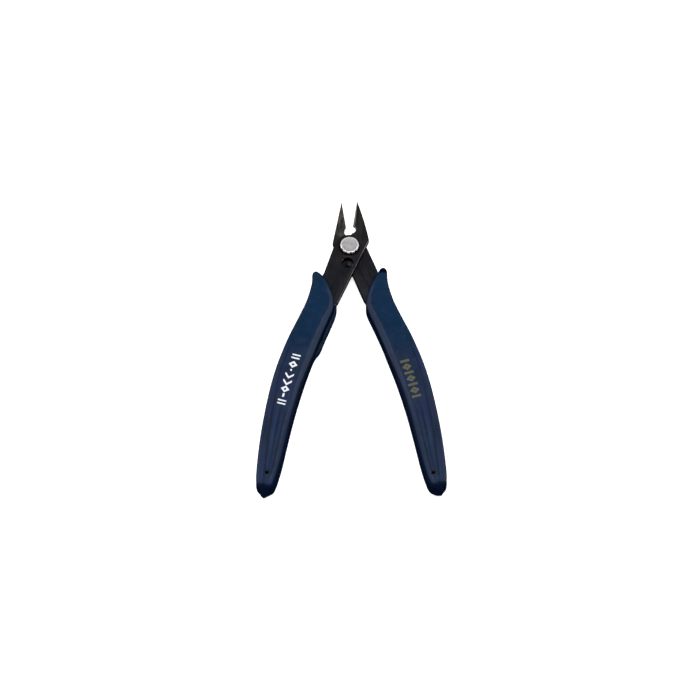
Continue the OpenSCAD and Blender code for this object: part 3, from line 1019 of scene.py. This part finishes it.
def rounded_path(corners, radii, step):
    """Polyline with each inner corner rounded by its radius, in steps of so many degrees"""
    points = [Vector(corners[0])]
    for a, b, c, r in zip(corners, corners[1:], corners[2:], radii):
        a, b, c = Vector(a), Vector(b), Vector(c)
        u, w = (a - b).normalized(), (c - b).normalized()
        turn = math.pi - u.angle(w)
        if turn < 0.02:
            points.append(b)
            continue
        back = r * math.tan(turn / 2)
        centre = b + (u + w).normalized() * (r / math.cos(turn / 2))
        p, q = b + u * back - centre, b + w * back - centre
        count = max(2, int(math.degrees(turn) / step))
        for k in range(count + 1):
            points.append(centre + p.slerp(q, k / count).normalized() * r)
    points.append(Vector(corners[-1]))
    return points


def tube(path, radius):
    """Round bar along a path, with flat ends"""
    points, faces = [], []
    side = Vector((1, 0, 0))
    for i, p in enumerate(path):
        t = (path[min(i + 1, len(path) - 1)] - path[max(i - 1, 0)]).normalized()
        side = (side - t * side.dot(t)).normalized()
        up = t.cross(side)
        for k in range(WIRE_SIDES):
            a = 2 * math.pi * k / WIRE_SIDES
            points.append(p + (side * math.cos(a) + up * math.sin(a)) * radius)
    rings = [list(range(i * WIRE_SIDES, (i + 1) * WIRE_SIDES)) for i in range(len(path))]
    joined = list(zip(rings, rings[1:]))
    for ring, centre in ((rings[0], path[0]), (rings[-1], path[-1])):
        # A smaller ring on the end
        cap = []
        for i in ring:
            cap.append(len(points))
            points.append(centre + (points[i] - centre) * 0.55)
        joined.append((ring, cap))
        faces.append(tuple(cap))
    for one, two in joined:
        for k in range(WIRE_SIDES):
            n = (k + 1) % WIRE_SIDES
            faces.append((one[k], one[n], two[n], two[k]))
    return bmesh_from([tuple(p) for p in points], faces)


def build_spring(material):
    """Wire: up through the rear blade at the hook, round the pivot, then the long arm"""
    lo, hi = low("return_spring"), high("return_spring")
    z = lo[2] + WIRE_D / 2
    sweep = WIRE_ARC[1] - WIRE_ARC[0]
    angles = [WIRE_ARC[0] + sweep * k / WIRE_ARC_STEPS for k in range(WIRE_ARC_STEPS + 1)]
    arc = [wire_arc(angle, z) for angle in angles]
    hook = Vector((*WIRE_HOOK, z))
    start = rounded_path([hook + Vector((0, 0, hi[2] - z)), hook, arc[0]], [0.7], 10)
    arm_end = Vector((*WIRE_ARM_END, z))
    elbow = rounded_path([arc[-4], arc[-1], arm_end], [2.2], 4)
    bend = elbow[-2]
    arm = [bend + (arm_end - bend) * (k / WIRE_ARM_STEPS) for k in range(1, WIRE_ARM_STEPS + 1)]
    path = []
    for p in start[:-1] + arc[:-4] + elbow[:-1] + arm:
        if not path or (p - path[-1]).length > 0.08:
            path.append(p)
    spring = new_object("return_spring_wire", tube(path, WIRE_D / 2), [material], 60)
    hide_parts("return_spring")
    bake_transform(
        spring, "rear_half", "front_half",
        start=(arc[-1].x * MM, arc[-1].y * MM, z * MM),
        end=(-8.9 * MM, -26 * MM, z * MM),
    )


# ---- Print ---------------------------------------------------------------------------------

# A mark is a list of outlines, each a list of (place along the line of print, place across it)


def bar(w, h):
    """Stroke across the line of print"""
    return [[(-w / 2, -h / 2), (w / 2, -h / 2), (w / 2, h / 2), (-w / 2, h / 2)]]


def chevron(w, h, stroke):
    """Two strokes that meet at the middle of the line"""
    start, end = -w / 2, w / 2
    return [
        [(start, -h / 2), (start + stroke, -h / 2), (end, 0), (end - stroke, 0)],
        [(end - stroke, 0), (end, 0), (start + stroke, h / 2), (start, h / 2)],
    ]


def hollow_diamond(w, h, stroke):
    outer = [(-w / 2, 0), (0, -h / 2), (w / 2, 0), (0, h / 2)]
    share = 1 - 2 * stroke / min(w, h)
    inner = [(x * share, y * share) for x, y in outer]
    return [[outer[k], outer[(k + 1) % 4], inner[(k + 1) % 4], inner[k]] for k in range(4)]


def drop_on(bm, piece):
    """Lays the bmesh, which is in millimetres, on the front of a piece"""
    surface = bmesh.new()
    surface.from_mesh(piece.data)
    bmesh.ops.scale(surface, vec=(1 / MM,) * 3, verts=surface.verts)
    tree = BVHTree.FromBMesh(surface)
    above = 50
    for vert in bm.verts:
        hit = tree.ray_cast(Vector((vert.co.x, vert.co.y, above)), Vector((0, 0, -1)))[0]
        vert.co.z = hit.z + INK_LIFT
    surface.free()


def build_print(name, grip, shell, marks, start, end, material, body):
    """Thin printed marks on the shell's surface. marks is a list of (place, mark), with the place
    from 0 to 1 along the line from start to end, each of which is (v, f) on the grip."""
    bm = bmesh.new()
    a, b = grip.at(*start), grip.at(*end)
    direction = (b - a) / np.linalg.norm(b - a)
    across = np.array([-direction[1], direction[0]])
    bow = grip.at((start[0] + end[0]) / 2, (start[1] + end[1]) / 2) - (a + b) / 2
    for along_line, mark in marks:
        centre = a + (b - a) * along_line + bow * 4 * along_line * (1 - along_line)
        for outline in mark:
            corners = [(*(centre + direction * s + across * t), 0) for s, t in outline]
            bm.faces.new([bm.verts.new(corner) for corner in corners])
    bmesh.ops.remove_doubles(bm, verts=bm.verts, dist=0.001)
    bmesh.ops.triangulate(bm, faces=bm.faces)
    bmesh.ops.subdivide_edges(bm, edges=bm.edges, cuts=3, use_grid_fill=True)
    drop_on(bm, shell)
    flat = list(bm.faces)
    for face in flat:
        if face.normal.z < 0:
            face.normal_flip()
    raised = bmesh.ops.extrude_face_region(bm, geom=flat)
    for item in raised["geom"]:
        if isinstance(item, bmesh.types.BMVert):
            item.co.z += INK_THICK
    piece = new_object(name, bm, [material], 50)
    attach(piece, body)


WHITE_DIAMOND = hollow_diamond(3.0, 3.4, 0.95)
WHITE_CHEVRON = chevron(2.6, 3.3, 0.95)
WHITE_BAR = bar(0.6, 3.2)
WHITE_MARKS = [
    (0.03, WHITE_BAR), (0.09, WHITE_BAR), (0.215, WHITE_DIAMOND), (0.325, bar(0.7, 0.7)),
    (0.44, WHITE_CHEVRON), (0.57, WHITE_CHEVRON), (0.70, WHITE_DIAMOND), (0.82, bar(1.5, 0.75)),
    (0.92, WHITE_BAR), (0.98, WHITE_BAR),
]
GOLD_DIAMOND = hollow_diamond(3.0, 3.8, 1.2)
GOLD_MARKS = [
    (0.02, bar(1.0, 3.6)), (0.18, GOLD_DIAMOND), (0.34, bar(1.0, 3.7)), (0.50, GOLD_DIAMOND),
    (0.66, bar(1.0, 3.7)), (0.82, GOLD_DIAMOND), (0.98, bar(1.0, 3.6)),
]

# ---- Build ---------------------------------------------------------------------------------

# Middle of the painted shadow in the stop hole
grease_spot = (0.0002, -0.0070, PARTING_Z * MM)
plastic = [grip_plastic("grip_plastic_satin", 0.08), grip_plastic("grip_plastic_matt", 0.0)]
front_steel = blade_steels("front_blade", (1, 0.06, 1), 0.26, worn_edge=0.2)
rear_steel = blade_steels("rear_blade", (1, 0.3, 1), 1.0, straw=0.6, grease=grease_spot)
bright = turned_steel("bright_turned_steel")
oxide = plain_oxide("black_oxide_small")
# Lighter oxide on the stop pin: a painted glint in the stop hole
worn = plain_oxide("black_oxide_glint", (0.008, 0.008, 0.013), (0.024, 0.024, 0.032))
# Near black and without sheen: black washers, darkened further as painted shade under the rivet's head
washer_shade_oxide = plain_oxide("black_oxide_washer", (0.0022, 0.0018, 0.0018), (0.0060, 0.0045, 0.0045), 0.0)
wire = drawn_wire("drawn_spring_wire")
white = ink("white_ink", (0.62, 0.64, 0.66), (0.35, 0.40, 0.46))
gold = ink("gold_ink", (0.064, 0.066, 0.030), (0.030, 0.034, 0.030), 0.2)

build_blade("front_blade", "front_half", front_steel)
build_blade("rear_blade", "rear_half", rear_steel)
build_rivet(bright)
build_collar(bright)
build_washer("front_washer", washer_shade_oxide)
build_washer("rear_washer", washer_shade_oxide)
build_solid_pin("stop_pin", "rear_half", worn, "black_steel", 0.22)
build_solid_pin("left_tang_pin", "front_half", bright, "bright_steel", 0.2)
build_solid_pin("right_tang_pin", "rear_half", bright, "bright_steel", 0.2)
build_tail_pin("left_tail_pin", "front_half", oxide)
build_tail_pin("right_tail_pin", "rear_half", oxide)
build_spring(wire)
left_shell, left_grip = build_shell("left_front_shell", "left", "front_half", plastic)
right_shell, right_grip = build_shell("right_front_shell", "right", "rear_half", plastic)
build_shell("left_rear_shell", "left", "front_half", plastic)
build_shell("right_rear_shell", "right", "rear_half", plastic)
build_print("white_scale_print", left_grip, left_shell, WHITE_MARKS,
            (0.39, 0.5), (0.615, 0.5), white, "front_half")
build_print("gold_diamond_print", right_grip, right_shell, GOLD_MARKS,
            (0.43, 0.57), (0.59, 0.57), gold, "rear_half")

# ---- Floor, light and camera, in metres and watts --------------------------------------------

FLOOR_RADIUS = 6
# (name, place, size, power)
LAMPS = (
    ("overhead", (0.0, -0.5, 2.0), 1.4, 36),
    ("left", (-1.4, 0.5, 1.2), 0.9, 14),
    ("right", (1.4, 0.5, 1.2), 0.9, 14),
)
LAMP_TARGET = Vector((0, -0.045, 0))
CAMERA_TARGET = Vector((0.00015, -0.0434, PARTING_Z * MM))
CAMERA_DISTANCE = 8.0
CAMERA_FIELD = 0.265
CAMERA_DEGREES_DOWN = 62


def build_floor():
    bm = bmesh.new()
    bmesh.ops.create_circle(bm, cap_ends=True, segments=96, radius=FLOOR_RADIUS)
    bmesh.ops.translate(bm, verts=bm.verts, vec=(0, 0, cad_box[0].z))
    mesh = bpy.data.meshes.new("floor")
    bm.to_mesh(mesh)
    bm.free()
    floor = bpy.data.objects.new("floor", mesh)
    bpy.context.scene.collection.objects.link(floor)
    s = Shader("floor_white")
    s.set(Base_Color=s.mix(s.noise(3, 2), (0.86, 0.86, 0.86), (0.88, 0.88, 0.88)), Roughness=0.9)
    # A faint glow takes away nearly all of the object's shadow
    s.set(Specular_IOR_Level=0.1, Emission_Color=(1, 1, 1, 1), Emission_Strength=0.6)
    mesh.materials.append(s.material)


def aim(thing, place_from, target):
    """Puts a lamp or a camera at a place, and turns it to the target"""
    thing.location = place_from
    thing.rotation_euler = (target - Vector(place_from)).to_track_quat("-Z", "Y").to_euler()
    bpy.context.scene.collection.objects.link(thing)


def build_lights():
    world = bpy.data.worlds.new("studio")
    world.use_nodes = True
    world.node_tree.nodes["Background"].inputs["Color"].default_value = (0.95, 0.97, 1.0, 1)
    world.node_tree.nodes["Background"].inputs["Strength"].default_value = 0.3
    bpy.context.scene.world = world
    for name, at, size, power in LAMPS:
        light = bpy.data.lights.new(name, "AREA")
        light.shape = "DISK"
        light.size = size
        light.energy = power
        lamp = bpy.data.objects.new(name, light)
        lamp.visible_camera = False
        aim(lamp, at, LAMP_TARGET)


def build_camera():
    """A long lens that looks down on the tool from the handles' side"""
    down = math.radians(CAMERA_DEGREES_DOWN)
    back = Vector((0, -math.cos(down), math.sin(down)))
    data = bpy.data.cameras.new("camera")
    data.lens = data.sensor_width * CAMERA_DISTANCE / CAMERA_FIELD
    cam = bpy.data.objects.new("camera", data)
    aim(cam, CAMERA_TARGET + back * CAMERA_DISTANCE, CAMERA_TARGET)
    bpy.context.scene.camera = cam


build_floor()
build_lights()
build_camera()
bpy.context.scene.view_settings.view_transform = "Standard"
